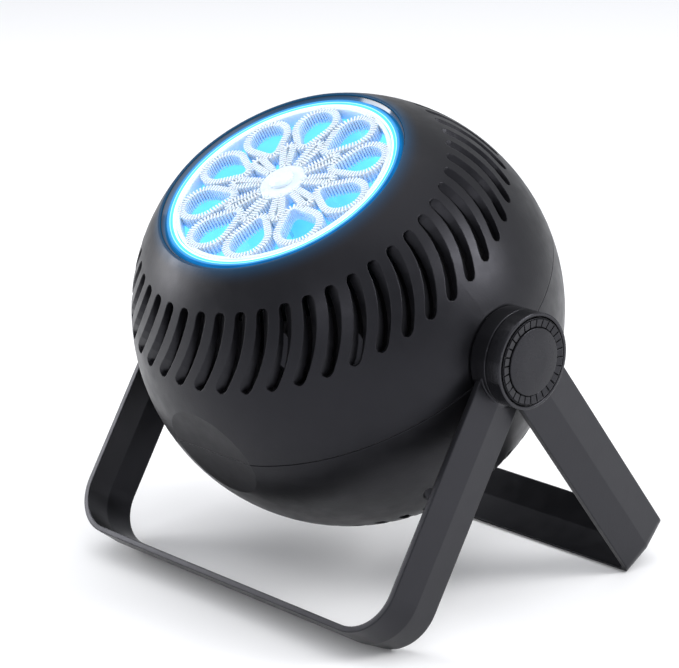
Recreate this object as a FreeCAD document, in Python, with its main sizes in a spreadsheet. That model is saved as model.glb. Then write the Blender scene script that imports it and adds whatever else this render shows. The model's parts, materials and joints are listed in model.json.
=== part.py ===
import FreeCAD, Part
import math
import os
import re

import Sketcher
from FreeCAD import Placement, Rotation, Vector

# A ball-shaped bubble machine that hangs between two U-shaped stands.
#
# Frame: +Z up, the machine blows towards -Y, and the pivot axis runs along X.
# The origin is on the floor, straight below the middle of the pivot axis.
#
# Parts of the ball are drawn in the head frame: its origin is the ball's centre, +Z comes out
# of the middle of the mouth, and X is the pivot axis.  One placement tips them all back.

doc = FreeCAD.newDocument("bubble_machine")

# --------------------------------------------------------------------------------------------
# Driving dimensions, in millimetres and degrees
# --------------------------------------------------------------------------------------------

SIZES = [
    # the ball
    ("ball_r", 80.0), ("wall", 2.4), ("seam_gap", 0.3), ("mouth_r", 48.0), ("head_tilt", 29.13),
    ("facet_r", 19.6), ("pole_flat", 2.0), ("pole_pad_r", 19.0), ("pole_pad", 3.5),
    ("lip_w", 1.8), ("lip_up", 3.0), ("lip_down", 10.0), ("gap", 0.3),
    # louvre slots of the front shell
    ("slot_count", 45), ("slot_low", 22.1), ("slot_high", 42.6), ("slot_slant", 10.0),
    ("slot_w", 4.5), ("slit_w", 1.3), ("slot_phase", 2.9), ("slot_bow", 1.5),
    # intake slots of the rear shell
    ("intake_count", 42), ("intake_low", 38.5), ("intake_high", 53.0), ("intake_w", 3.7),
    # screws that hold the shells together
    ("shell_screw_r", 1.25), ("shell_screw_head_r", 2.5), ("shell_boss_r", 3.8),
    ("shell_boss_in", 7.9), ("shell_boss_turn", 55.0), ("screw_clear", 0.05),
    ("shell_screw_seat", 8.0), ("shell_screw_len", 18.0), ("screw_head", 2.0),
    # rings in the mouth
    ("neck_clear", 0.8), ("neck_wall", 2.0), ("neck_deep", 15.6), ("bezel_w", 1.7),
    ("bezel_low", 1.0), ("bezel_slope", 1.4), ("guide_w", 3.0), ("guide_skirt", 1.0),
    ("guide_thick", 2.2), ("guide_low", 0.8), ("ledge", 2.0), ("board_t", 1.6), ("led_count", 24),
    ("led_w", 0.8), ("led_len", 1.6), ("led_high", 0.6),
    # the wand wheel and its drive
    ("wheel_clear", 0.5), ("wheel_low", 1.0), ("wheel_deep", 5.0), ("rim_w", 1.5), ("hub_r", 9.0),
    ("petal_count", 10), ("petal_bite", 0.2), ("petal_r", 8.6), ("petal_in_at", 21.5),
    ("petal_in_r", 3.4), ("petal_wall", 1.1), ("loop_w", 5.0), ("loop_end", 22.0),
    ("spoke_w", 1.6), ("shaft_r", 2.0), ("shaft_clear", 0.04), ("bush_r", 4.0), ("bush_len", 4.0),
    ("cap_r", 4.5), ("cap_high", 2.4), ("gear_module", 0.7), ("gear_teeth", 48),
    ("pinion_teeth", 16), ("gear_w", 4.0), ("gear_up", 14.0), ("backlash", 0.22),
    # the solution tank
    ("tank_gap", 0.6), ("tank_wall", 1.6), ("tank_deep", 26.0), ("tank_drop", 3.4),
    ("pipe_r", 6.0), ("pipe_wall", 1.8), ("pipe_drop", 9.0), ("air_at", 28.5), ("air_r", 9.0),
    ("wiper_w", 26.0), ("wiper_t", 1.2), ("wiper_high", 6.0), ("wiper_at", 14.0),
    ("wiper_rib", 1.6), ("wiper_bare", 2.0),
    # the chassis and what hangs on it
    ("plate_z", 8.0), ("plate_t", 2.5), ("plate_in", 9.0), ("post_r", 3.0), ("post_at", 38.0),
    ("chassis_boss_in", 11.6), ("chassis_boss_turn", 35.0), ("chassis_boss_r", 3.5),
    ("motor_r", 10.0), ("motor_len", 22.0), ("gearbox_r", 11.0), ("gearbox_len", 10.0),
    # the fan
    ("fan_y", 8.0), ("fan_z", -22.0), ("fan_r", 20.0), ("fan_w", 14.0), ("fan_blades", 24),
    ("fan_run", 2.0), ("fan_wall", 1.6), ("scroll_r", 23.5), ("duct_w", 18.0), ("eye_r", 12.0),
    # battery
    ("cell_r", 9.2), ("cell_len", 65.0), ("cell_y", -36.0), ("cell_top", -14.0),
    ("cell_apart", 1.6),
    ("tray_wall", 1.6),
    # controls on the rear shell
    ("panel_lat", 17.5), ("panel_flat", 2.6), ("panel_pad_r", 21.5), ("button_r", 6.0),
    ("button_x", -8.0), ("button_up", 1.4), ("button_clear", 0.3), ("flange", 1.2),
    ("inlet_x", 9.0), ("inlet_w", 9.0), ("inlet_t", 3.2), ("inlet_wall", 0.35),
    ("main_board_x", 40.0), ("main_board_y", 24.0), ("main_board_in", 10.4), ("lens_r", 1.2),
    ("board_post_x", 17.5), ("board_post_y", 9.0), ("board_post_r", 1.6),
    # pivots, knobs and washers
    ("axle_r", 8.0), ("running", 0.05), ("axle_flange_r", 13.0), ("axle_flange", 2.7),
    ("pivot_hub_r", 17.2), ("hub_gap", 0.4), ("front_hub_w", 6.9), ("rear_hub_w", 6.3),
    ("lip_wall", 1.2), ("cup_floor", 2.4), ("knob_gap", 0.6), ("knob_proud", 0.5),
    ("knob_face_r", 11.8), ("knob_step", 0.5), ("knob_ribs", 28), ("rib_w", 0.7), ("rib_t", 0.5),
    ("stud_r", 3.0), ("insert_r", 5.0), ("washer_r", 14.0), ("washer_t", 1.0),
    # the two stands
    ("arm_gap", 1.3), ("band_w", 23.7), ("front_band_t", 2.1), ("rear_band_t", 2.3),
    ("ridge", 1.2), ("front_leg", 110.3), ("front_angle", 33.5), ("front_corner", 17.6),
    ("rear_arm_gap", 0.1), ("nest_gap", 1.1), ("rear_corner", 4.0),
    ("foot_flat", 0.6), ("foot_t", 0.9), ("foot_len", 120.0),
]

dims = doc.addObject("Spreadsheet::Sheet", "dims")
for row, (alias, number) in enumerate(SIZES, start=1):
    dims.set("A%d" % row, alias)
    dims.set("B%d" % row, str(number))
    dims.setAlias("B%d" % row, alias)
doc.recompute()

# Sizes that follow from the driving ones, as expressions over them
DERIVED = {
    "inner_r": "ball_r - wall",
    "clear_r": "ball_r + 3",
    "mouth_z": "sqrt(ball_r^2 - mouth_r^2)",
    "facet_y": "sqrt(ball_r^2 - facet_r^2)",
    "pole_x": "ball_r - pole_flat",
    "pad_x": "ball_r - pole_flat - pole_pad",
    "lip_r": "inner_r - gap",
    # rings in the mouth, from the rim inwards and downwards
    "neck_r": "mouth_r - neck_clear",
    "neck_low_z": "mouth_z - neck_deep",
    "ledge_z": "neck_low_z + ledge",
    "bezel_r": "neck_r - gap",
    "bezel_in_r": "bezel_r - bezel_w",
    "guide_r": "bezel_in_r - gap",
    "guide_in_r": "guide_r - guide_w",
    "skirt_in_r": "guide_r - guide_skirt",
    "board_z": "ledge_z + board_t",
    "guide_top": "mouth_z - guide_low",
    # screw bosses, measured in from the wall
    "shell_boss_at": "inner_r - shell_boss_in",
    "chassis_boss_at": "inner_r - chassis_boss_in",
    # wheel, tank and drive
    "wheel_r": "guide_in_r - wheel_clear",
    "petal_at": "wheel_r - rim_w + petal_bite - petal_r",
    "wheel_top": "mouth_z - wheel_low",
    "wheel_z": "wheel_top - wheel_deep",
    "tank_r": "wheel_r + tank_gap + tank_wall",
    "tank_top": "mouth_z - tank_drop",
    "tank_z": "tank_top - tank_deep",
    "pipe_top": "mouth_z - pipe_drop",
    "plate_top": "plate_z + plate_t",
    "gear_z": "plate_top + gear_up",
    "gear_pitch_r": "gear_module * gear_teeth / 2",
    "pinion_pitch_r": "gear_module * pinion_teeth / 2",
    "pinion_x": "-gear_pitch_r - pinion_pitch_r",
    # pivot stack along X, from the ball outwards
    "front_hub_x": "pole_x + hub_gap",
    "front_hub_out": "front_hub_x + front_hub_w",
    "rear_hub_x": "front_hub_out + gap",
    "rear_hub_out": "rear_hub_x + rear_hub_w",
    "cup_x": "rear_hub_x + cup_floor",
    "knob_r": "pivot_hub_r - lip_wall - knob_gap",
    "knob_x": "cup_x + gap",
    "knob_out": "rear_hub_out + knob_proud",
    # stands
    "front_arm_in": "ball_r + arm_gap",
    "rear_arm_in": "rear_hub_x + rear_arm_gap",
    "rear_leg": "front_leg + nest_gap + rear_band_t",
    # controls
    "panel_z": "ball_r - panel_flat",
    "panel_in_z": "ball_r - panel_flat - wall",
    "main_board_z": "panel_in_z - main_board_in + board_t",
}

WORD = re.compile(r"[a-z_][a-z0-9_]*")
ALIASES = {alias for alias, number in SIZES}


def tie(text):
    """Expression text with every size name turned into a reference to the sheet."""
    def swap(match):
        word = match.group(0)
        if word in ALIASES:
            return "dims." + word
        if word in DERIVED:
            return "(" + tie(DERIVED[word]) + ")"
        return word
    return WORD.sub(swap, str(text))


def val(text):
    """Number that an expression over the sheet gives now."""
    return float(dims.evalExpression(tie(text)))


# --------------------------------------------------------------------------------------------
# Ways to make a piece
# --------------------------------------------------------------------------------------------

PARTS = []


def finish_part(obj, label, place=None):
    """Give a sub-part its name and place and put it on the list of parts to write."""
    obj.Label = label
    if place is not None:
        obj.Placement = place
    PARTS.append(obj)
    return obj


def origin_plane(body, role):
    """The body's own origin plane with the given role."""
    return [feature for feature in body.Origin.OriginFeatures if feature.Role == role][0]


def outline(body, role, corners, name):
    """Closed straight-sided sketch whose corners are tied to the sheet."""
    sketch = body.newObject("Sketcher::SketchObject", name)
    sketch.AttachmentSupport = [(origin_plane(body, role), "")]
    sketch.MapMode = "FlatFace"
    points = [Vector(val(u), val(v), 0) for u, v in corners]
    for start, end in zip(points, points[1:] + points[:1]):
        sketch.addGeometry(Part.LineSegment(start, end), False)
    count = len(points)
    for index in range(count):
        after = (index + 1) % count
        sketch.addConstraint(Sketcher.Constraint("Coincident", index, 2, after, 1))
    for index, (u, v) in enumerate(corners):
        for kind, text in (("DistanceX", u), ("DistanceY", v)):
            number = sketch.addConstraint(Sketcher.Constraint(kind, -1, 1, index, 1, val(text)))
            sketch.setExpression("Constraints[%d]" % number, tie(text))
    return sketch


def turned(name, corners):
    """Body of revolution about its own Z: corners are (radius, height) pairs."""
    body = doc.addObject("PartDesign::Body", name + "_body")
    sketch = outline(body, "XZ_Plane", corners, name + "_section")
    turn = body.newObject("PartDesign::Revolution", name + "_turn")
    turn.Profile = sketch
    turn.ReferenceAxis = (sketch, ["V_Axis"])
    turn.Angle = 360
    doc.recompute()
    return body


def padded(name, role, corners, low, high):
    """Straight-sided body padded from one height to another along its plane's normal."""
    body = doc.addObject("PartDesign::Body", name + "_body")
    sketch = outline(body, role, corners, name + "_section")
    sketch.setExpression(".AttachmentOffset.Base.z", tie(low))
    pad = body.newObject("PartDesign::Pad", name + "_pad")
    pad.Profile = sketch
    pad.setExpression("Length", tie("(%s) - (%s)" % (high, low)))
    doc.recompute()
    return body


def tube(name, outer, inner, low, high):
    """Plain ring turned about Z."""
    return turned(name, [(inner, low), (outer, low), (outer, high), (inner, high)])


def rod(name, radius, low, high):
    """Plain round bar turned about Z."""
    return turned(name, [("0", low), (radius, low), (radius, high), ("0", high)])


def disc(name, radius, low, high, at=("0", "0")):
    """Part cylinder along Z, tied to the sheet."""
    obj = doc.addObject("Part::Cylinder", name)
    obj.setExpression("Radius", tie(radius))
    obj.setExpression("Height", tie("(%s) - (%s)" % (high, low)))
    obj.setExpression(".Placement.Base.x", tie(at[0]))
    obj.setExpression(".Placement.Base.y", tie(at[1]))
    obj.setExpression(".Placement.Base.z", tie(low))
    return obj


def block(name, low, high):
    """Part box between two corners, tied to the sheet."""
    obj = doc.addObject("Part::Box", name)
    for side, start, end in zip(("Length", "Width", "Height"), low, high):
        obj.setExpression(side, tie("(%s) - (%s)" % (end, start)))
    for axis, start in zip("xyz", low):
        obj.setExpression(".Placement.Base." + axis, tie(start))
    return obj


def ball(name, radius):
    """Part sphere about the origin."""
    obj = doc.addObject("Part::Sphere", name)
    obj.setExpression("Radius", tie(radius))
    return obj


def fixed(name, shape):
    """Feature that holds a shape worked out from the sheet by this file's own code.

    A moved shape is wrapped, so that the feature's own Placement doesn't undo the move.
    """
    obj = doc.addObject("Part::Feature", name)
    obj.Shape = shape if shape.Placement.isIdentity() else Part.makeCompound([shape])
    return obj


def fuse(name, pieces):
    obj = doc.addObject("Part::MultiFuse", name)
    obj.Shapes = pieces
    obj.Refine = True
    doc.recompute()
    return obj


def cut(name, base, tool):
    obj = doc.addObject("Part::Cut", name)
    obj.Base = base
    obj.Tool = tool
    doc.recompute()
    return obj


def common(name, pieces):
    obj = doc.addObject("Part::MultiCommon", name)
    obj.Shapes = pieces
    doc.recompute()
    return obj


def group(name, pieces):
    """Compound of separate solids, for identical pieces that share one node."""
    obj = doc.addObject("Part::Compound", name)
    obj.Links = pieces
    doc.recompute()
    return obj


def polar(radius, degrees):
    """Point at a radius and an angle from +X in the XY plane."""
    return Vector(radius * math.cos(math.radians(degrees)), radius * math.sin(math.radians(degrees)), 0)


X_AXIS = Vector(1, 0, 0)
Y_AXIS = Vector(0, 1, 0)
Z_AXIS = Vector(0, 0, 1)

# --------------------------------------------------------------------------------------------
# Places of the four frames
# --------------------------------------------------------------------------------------------

band_half = val("band_w") / 2
front_angle = math.radians(val("front_angle"))
pivot_z = (
    val("front_leg") * math.cos(front_angle) + band_half * math.sin(front_angle) - val("foot_flat")
)
# the rear leg swings out until its lowest edge is as far below the pivot as the front one's
rear_reach = math.hypot(val("rear_leg"), band_half)
rear_angle = math.atan2(band_half, val("rear_leg")) + math.acos((pivot_z + val("foot_flat")) / rear_reach)

PIVOT = Vector(0, 0, pivot_z)
HEAD = Placement(PIVOT, Rotation(X_AXIS, val("head_tilt")))
FRONT = Placement(PIVOT, Rotation(X_AXIS, -math.degrees(front_angle)))
REAR = Placement(PIVOT, Rotation(X_AXIS, math.degrees(rear_angle)))
LEVEL = Placement(PIVOT, Rotation())
SIDES = {
    "right": Placement(Vector(), Rotation(Y_AXIS, 90)),
    "left": Placement(Vector(), Rotation(Y_AXIS, -90)),
}
CONTROL = Placement(Vector(), Rotation(X_AXIS, -90 - val("panel_lat")))

# --------------------------------------------------------------------------------------------
# The ball: one hollow solid, then a front and a rear half
# --------------------------------------------------------------------------------------------

outer_ball = ball("outer_ball", "ball_r")
outer_body = common("outer_trimmed", [
    outer_ball,
    block("outer_limits", ("-pole_x", "-facet_y", "-clear_r"), ("pole_x", "clear_r", "mouth_z")),
])
panel_cut = block("panel_cut", ("-clear_r", "-clear_r", "panel_z"), ("clear_r", "clear_r", "clear_r"))
panel_cut_frame = fuse("panel_cut_frame", [panel_cut, disc("panel_cut_core", "1", "panel_z", "ball_r")])
panel_cut_frame.Placement = CONTROL
outer_body = cut("outer_faceted", outer_body, panel_cut_frame)

inner_body = common("inner_trimmed", [
    ball("inner_ball", "inner_r"),
    block("inner_limits", ("-clear_r", "wall - facet_y", "-clear_r"), ("clear_r", "clear_r", "clear_r")),
])
pads = []
for side, place in SIDES.items():
    pad = disc("pole_pad_" + side, "pole_pad_r", "pad_x", "ball_r")
    pad_frame = fuse("pole_pad_frame_" + side, [pad, disc("pole_core_" + side, "1", "pad_x", "ball_r")])
    pad_frame.Placement = place
    pads.append(pad_frame)
panel_pad = fuse("panel_pad_frame", [
    disc("panel_pad", "panel_pad_r", "panel_in_z", "ball_r"),
    disc("panel_core", "1", "panel_in_z", "ball_r"),
])
panel_pad.Placement = CONTROL
inner_body = cut("inner_hollow", inner_body, fuse("inner_pads", pads + [panel_pad]))
hollow_ball = cut("hollow_ball", outer_body, inner_body)

axle_holes = fuse("axle_holes", [
    fixed("axle_hole_" + side, Part.makeCylinder(
        val("axle_r + running"), val("ball_r"), Vector(), place.multVec(Z_AXIS)))
    for side, place in SIDES.items()
])


def screw_spots(at, turn):
    """Middle points of four screws placed alike about the X and Y axes."""
    radius = val(at)
    angle = val(turn)
    return [polar(radius, base) for base in (angle - 90, -angle - 90, 90 - angle, 90 + angle)]


SHELL_SPOTS = screw_spots("shell_boss_at", "shell_boss_turn")
CHASSIS_SPOTS = screw_spots("chassis_boss_at", "chassis_boss_turn")


def posts_at(name, spots, radius, low, high):
    """One cylinder along Z at each spot."""
    shapes = [
        Part.makeCylinder(val(radius), val(high) - val(low), Vector(spot.x, spot.y, val(low)))
        for spot in spots
    ]
    return fixed(name, Part.makeCompound(shapes))


def louvre_cutter():
    """Cutter for one louvre: a slanting, slightly bowed channel whose slit crosses over.

    At the low end the channel ramps down from its left edge to a slit along the right one, and
    at the high end it is the other way round, so each bar between two louvres looks twisted.
    """
    ball_r = val("ball_r")
    inner_r = val("inner_r")
    half = val("slot_w") / 2
    slit = val("slit_w") / 2
    end_lat = math.degrees(half / ball_r)
    low = val("slot_low") + end_lat
    high = val("slot_high") - end_lat
    over = 0.8
    # along the channel: latitude, how far the slit has crossed, and the width as a share
    steps = 6
    stations = [(low + step / steps * (high - low), step / steps, 1.0) for step in range(steps + 1)]
    for beyond, width in ((0.6, 0.8), (0.92, 0.39)):
        stations.insert(0, (low - beyond * end_lat, 0.0, width))
        stations.append((high + beyond * end_lat, 1.0, width))
    outs = []
    for lat, crossed, width in stations:
        share = (lat - low) / (high - low)
        bow = val("slot_bow") * (1 - (2 * share - 1) ** 2)
        turn = math.radians(val("slot_slant") * (share - 0.5) + bow)
        flat = math.cos(math.radians(lat))
        outs.append(Vector(flat * math.sin(turn), -flat * math.cos(turn), math.sin(math.radians(lat))))
    sections = []
    for index, (lat, crossed, width) in enumerate(stations):
        out = outs[index]
        along = outs[min(index + 1, len(outs) - 1)] - outs[max(index - 1, 0)]
        along = (along - out * along.dot(out)).normalize()
        side = along.cross(out)
        shift = (half - slit - 0.1) * (1 - 2 * crossed) * width

        def edge(offset_out, offset_in, radius):
            slope = (offset_out - offset_in) / (ball_r - inner_r)
            return out * radius + side * (offset_in + slope * (radius - inner_r))

        top, low_r = ball_r + over, inner_r - over
        wide, thin = half * width, slit * width
        corners = [
            edge(-wide, shift - thin, top), edge(wide, shift + thin, top),
            edge(wide, shift + thin, low_r), edge(-wide, shift - thin, low_r),
        ]
        sections.append(Part.makePolygon(corners + corners[:1]))
    return Part.makeLoft(sections, True, True)


def around(shape, count, phase=0.0):
    """Copies of a shape turned about Z, as one compound."""
    copies = []
    for index in range(int(count)):
        copy = shape.copy()
        copy.rotate(Vector(), Z_AXIS, phase + index * 360.0 / count)
        copies.append(copy)
    return Part.makeCompound(copies)


louvres = fixed("louvres", around(louvre_cutter(), val("slot_count"), val("slot_phase")))

# the intake slots are straight, and point at the middle of the rear shell
intake_length = val("ball_r") * math.radians(val("intake_high") - val("intake_low"))
intake_mid = (val("intake_low") + val("intake_high")) / 2
intake = Part.makeBox(
    val("intake_w"), intake_length, 12, Vector(-val("intake_w") / 2, -intake_length / 2, val("inner_r") - 6)
)
intake.rotate(Vector(), X_AXIS, 180 - (90 - intake_mid))
intakes = fixed("intakes", around(intake, val("intake_count")))

front_half = common("front_half", [
    hollow_ball,
    block("front_limit", ("-clear_r", "-clear_r", "seam_gap / 2"), ("clear_r", "clear_r", "clear_r")),
])
front_open = cut("front_open", front_half, disc("mouth_bore", "neck_r", "ledge_z", "ball_r"))
front_slotted = cut("front_slotted", front_open, louvres)
neck = common("neck", [
    tube("neck_tube", "neck_r + neck_wall", "neck_r", "neck_low_z", "mouth_z"),
    ball("neck_limit", "ball_r - 0.4"),
])
neck_ledge = tube("neck_ledge", "neck_r + 0.1", "bezel_in_r", "neck_low_z", "ledge_z")
front_bosses = common("front_bosses", [
    fuse("front_boss_posts", [
        posts_at("shell_posts_up", SHELL_SPOTS, "shell_boss_r", "seam_gap / 2", "inner_r"),
        posts_at("chassis_posts_up", CHASSIS_SPOTS, "chassis_boss_r", "plate_top", "inner_r"),
    ]),
    ball("front_boss_limit", "inner_r + 0.2"),
])
front_solid = fuse("front_solid", [front_slotted, neck, neck_ledge, front_bosses])
front_holes = fuse("front_holes", [
    axle_holes,
    posts_at("shell_pilots", SHELL_SPOTS, "shell_screw_r + screw_clear", "0", "shell_screw_len"),
    posts_at("chassis_pilots", CHASSIS_SPOTS, "shell_screw_r + screw_clear", "plate_z", "plate_top + 10"),
])
finish_part(cut("front_shell_cut", front_solid, front_holes), "front_shell", HEAD)

rear_half = common("rear_half", [
    hollow_ball,
    block("rear_limit", ("-clear_r", "-clear_r", "-clear_r"), ("clear_r", "clear_r", "-seam_gap / 2")),
])
rear_slotted = cut("rear_slotted", rear_half, intakes)
lip_ring = tube("lip_ring", "lip_r", "lip_r - lip_w", "-lip_down", "lip_up")
lip_clear = fuse("lip_clear", [
    fixed("lip_clear_" + side, Part.makeCylinder(
        val("pole_pad_r + 0.6"), val("ball_r"), Vector(), place.multVec(Z_AXIS)))
    for side, place in SIDES.items()
] + [block("lip_facet", ("-clear_r", "-clear_r", "-clear_r"), ("clear_r", "wall - facet_y + gap", "clear_r"))])
lip = cut("lip", lip_ring, lip_clear)
rear_bosses = common("rear_bosses", [
    posts_at("shell_posts_down", SHELL_SPOTS, "shell_boss_r", "-inner_r", "-seam_gap / 2"),
    ball("rear_boss_limit", "inner_r + 0.2"),
])
board_posts = fuse("board_posts", [
    disc("board_post_%d" % number, "board_post_r", "main_board_z", "panel_in_z + wall / 4", (x, y))
    for number, (x, y) in enumerate([
        ("-board_post_x", "-board_post_y"), ("board_post_x", "-board_post_y"),
        ("board_post_x", "board_post_y"), ("-board_post_x", "board_post_y"),
    ])
])
board_posts.Placement = CONTROL
rear_solid = fuse("rear_solid", [rear_slotted, lip, rear_bosses, board_posts])
panel_holes = fuse("panel_holes", [
    disc("button_hole", "button_r + button_clear", "panel_in_z - 1", "ball_r", ("button_x", "0")),
    block(
        "inlet_hole",
        ("inlet_x - inlet_w / 2 - button_clear", "-inlet_t / 2 - button_clear", "panel_in_z - 1"),
        ("inlet_x + inlet_w / 2 + button_clear", "inlet_t / 2 + button_clear", "ball_r"),
    ),
    disc("lens_hole", "lens_r + screw_clear", "panel_in_z - 1", "ball_r", ("0", "-8")),
])
panel_holes.Placement = CONTROL
rear_holes = fuse("rear_holes", [
    axle_holes,
    panel_holes,
    posts_at("shell_clearances", SHELL_SPOTS, "shell_screw_r + 4 * screw_clear", "-ball_r", "0"),
    posts_at(
        "shell_sinks", SHELL_SPOTS, "shell_screw_head_r + 5 * screw_clear", "-ball_r", "-shell_screw_seat"),
])
finish_part(cut("rear_shell_cut", rear_solid, rear_holes), "rear_shell", HEAD)


def screws(name, spots, seat, length, up=True):
    """Pan-head screws that point up along Z from their seats."""
    shapes = []
    for spot in spots:
        foot = Vector(spot.x, spot.y, val(seat))
        head = Part.makeCylinder(val("shell_screw_head_r"), val("screw_head"), foot, Vector(0, 0, -1))
        shank = Part.makeCylinder(val("shell_screw_r"), val(length), foot)
        slot = Part.makeBox(3.2, 0.7, 1.0, foot + Vector(-1.6, -0.35, -val("screw_head")))
        cross = Part.makeBox(0.7, 3.2, 1.0, foot + Vector(-0.35, -1.6, -val("screw_head")))
        shapes.append(head.fuse(shank).cut(slot).cut(cross))
    return fixed(name, Part.makeCompound(shapes))


shell_screws = screws("shell_screw_set", SHELL_SPOTS, "-shell_screw_seat", "shell_screw_len")
finish_part(shell_screws, "shell_screws", HEAD)

# --------------------------------------------------------------------------------------------
# Rings in the mouth
# --------------------------------------------------------------------------------------------

finish_part(turned("bezel", [
    ("bezel_in_r", "board_z"), ("bezel_r", "board_z"), ("bezel_r", "mouth_z - bezel_low + 0.6"),
    ("bezel_in_r", "mouth_z - bezel_low - bezel_slope + 0.6"),
]), "bezel_ring", HEAD)
finish_part(turned("guide", [
    ("skirt_in_r", "board_z + led_high + gap"), ("guide_r", "board_z + led_high + gap"),
    ("guide_r", "guide_top"), ("guide_in_r", "guide_top - 0.4"), ("guide_in_r", "guide_top - guide_thick"),
    ("skirt_in_r", "guide_top - guide_thick"),
]), "light_guide", HEAD)
finish_part(tube("led_ring", "bezel_r - gap", "skirt_in_r", "ledge_z", "board_z"), "led_board", HEAD)
led = Part.makeBox(val("led_w"), val("led_len"), val("led_high"), Vector(
    val("guide_r - guide_skirt / 2 - led_w / 2"), -val("led_len") / 2, val("board_z")))
finish_part(fixed("led_set", around(led, val("led_count"))), "leds", HEAD)

# --------------------------------------------------------------------------------------------
# The wand wheel
# --------------------------------------------------------------------------------------------


def egg(big_at, big_r, small_at, small_r):
    """Flat face with the outline of two circles on the X axis and their outer tangents."""
    lean = math.acos((big_r - small_r) / (big_at - small_at))
    turns = (math.pi - lean, lean - math.pi)
    big = [Vector(big_at + big_r * math.cos(turn), big_r * math.sin(turn)) for turn in turns]
    small = [Vector(small_at + small_r * math.cos(turn), small_r * math.sin(turn)) for turn in turns]
    edges = [
        Part.Arc(big[1], Vector(big_at + big_r, 0, 0), big[0]).toShape(),
        Part.LineSegment(big[0], small[0]).toShape(),
        Part.Arc(small[0], Vector(small_at - small_r, 0, 0), small[1]).toShape(),
        Part.LineSegment(small[1], big[1]).toShape(),
    ]
    return Part.Face(Part.Wire(edges))


def ring_face(outer, inner):
    return Part.Face(Part.Wire(Part.makeCircle(outer))).cut(Part.Face(Part.Wire(Part.makeCircle(inner))))


def strip(start, end, width):
    """Flat rectangle along X."""
    return Part.makePlane(end - start, width, Vector(start, -width / 2, 0))


def wheel_faces():
    """Plan of the wand wheel: rim, hub, ten egg-shaped wands and a narrow loop between each two."""
    count = int(val("petal_count"))
    wall = val("petal_wall")
    petal = egg(val("petal_at"), val("petal_r"), val("petal_in_at"), val("petal_in_r")).cut(
        egg(val("petal_at"), val("petal_r") - wall, val("petal_in_at"), val("petal_in_r") - wall))
    spoke_end = val("petal_in_at - petal_in_r + petal_wall / 2")
    petal = petal.fuse(strip(val("hub_r") - 0.5, spoke_end, val("spoke_w")))
    loop_w = val("loop_w")
    loop_start = val("hub_r") - 0.5
    loop_end = val("loop_end")
    nose = loop_w / 2
    loop = egg(loop_end - nose, nose, loop_start + nose * 0.6, nose * 0.6).cut(
        egg(loop_end - nose, nose - wall, loop_start + nose * 0.6, nose * 0.6 - wall * 0.7))
    loop.rotate(Vector(), Z_AXIS, 180.0 / count)
    rim = ring_face(val("wheel_r"), val("wheel_r - rim_w"))
    hub = ring_face(val("hub_r"), val("shaft_r + shaft_clear"))
    faces = [rim, hub]
    for shape in (petal, loop):
        faces += around(shape, count).Faces
    return faces


wheel_pieces = [face.extrude(Vector(0, 0, val("wheel_deep"))) for face in wheel_faces()]
wheel_solid = wheel_pieces[0].fuse(wheel_pieces[1:]).removeSplitter()
wheel_solid.translate(Vector(0, 0, val("wheel_z")))
finish_part(fixed("wheel_moulding", wheel_solid), "wand_wheel", HEAD)
finish_part(turned("cap", [
    ("0", "wheel_top"), ("cap_r", "wheel_top"), ("cap_r", "wheel_top + cap_high / 2"),
    ("cap_r * 0.7", "wheel_top + cap_high * 0.85"), ("0", "wheel_top + cap_high"),
]), "wheel_cap", HEAD)
finish_part(rod("wheel_axle", "shaft_r", "plate_z - 1", "wheel_top"), "wheel_shaft", HEAD)


def gear_face(teeth, bore):
    """Plan of an involute gear with shortened teeth and some backlash."""
    module = val("gear_module")
    pitch_r = module * teeth / 2
    tip_r = pitch_r + 0.85 * module
    root_r = pitch_r - 1.15 * module
    base_r = pitch_r * math.cos(math.radians(20))

    def involute(radius):
        if radius <= base_r:
            return 0.0
        angle = math.acos(base_r / radius)
        return math.tan(angle) - angle

    half_tooth = (math.pi * module / 2 - val("backlash") / 2) / 2 / pitch_r
    points = []
    for tooth in range(int(teeth)):
        middle = 2 * math.pi * tooth / teeth
        flank = [(radius, half_tooth + involute(pitch_r) - involute(radius))
                 for radius in (root_r, base_r if base_r > root_r else root_r + 0.2, pitch_r, tip_r)]
        for radius, lean in flank:
            points.append(Vector(radius * math.cos(middle - lean), radius * math.sin(middle - lean), 0))
        for radius, lean in reversed(flank):
            points.append(Vector(radius * math.cos(middle + lean), radius * math.sin(middle + lean), 0))
    plan = Part.Face(Part.makePolygon(points + points[:1]))
    return plan.cut(Part.Face(Part.Wire(Part.makeCircle(bore))))


gear = gear_face(val("gear_teeth"), val("shaft_r + shaft_clear")).extrude(Vector(0, 0, val("gear_w")))
gear = gear.fuse(Part.makeCylinder(6, 3, Vector(0, 0, val("gear_w"))).cut(
    Part.makeCylinder(val("shaft_r + shaft_clear"), 3, Vector(0, 0, val("gear_w")))))
gear.translate(Vector(0, 0, val("gear_z")))
finish_part(fixed("wheel_gear_blank", gear), "wheel_gear", HEAD)

pinion = gear_face(val("pinion_teeth"), 1.0).extrude(Vector(0, 0, val("gear_w")))
pinion.rotate(Vector(), Z_AXIS, 180.0 / val("pinion_teeth"))
pinion.translate(Vector(val("pinion_x"), 0, val("gear_z")))
pin = Part.makeCylinder(1.0, val("gear_z + gear_w + 1 - plate_z"), Vector(val("pinion_x"), 0, val("plate_z")))
finish_part(fixed("pinion_and_pin", pinion.fuse(pin)), "drive_pinion", HEAD)

# --------------------------------------------------------------------------------------------
# The solution tank and the wiper
# --------------------------------------------------------------------------------------------

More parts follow.
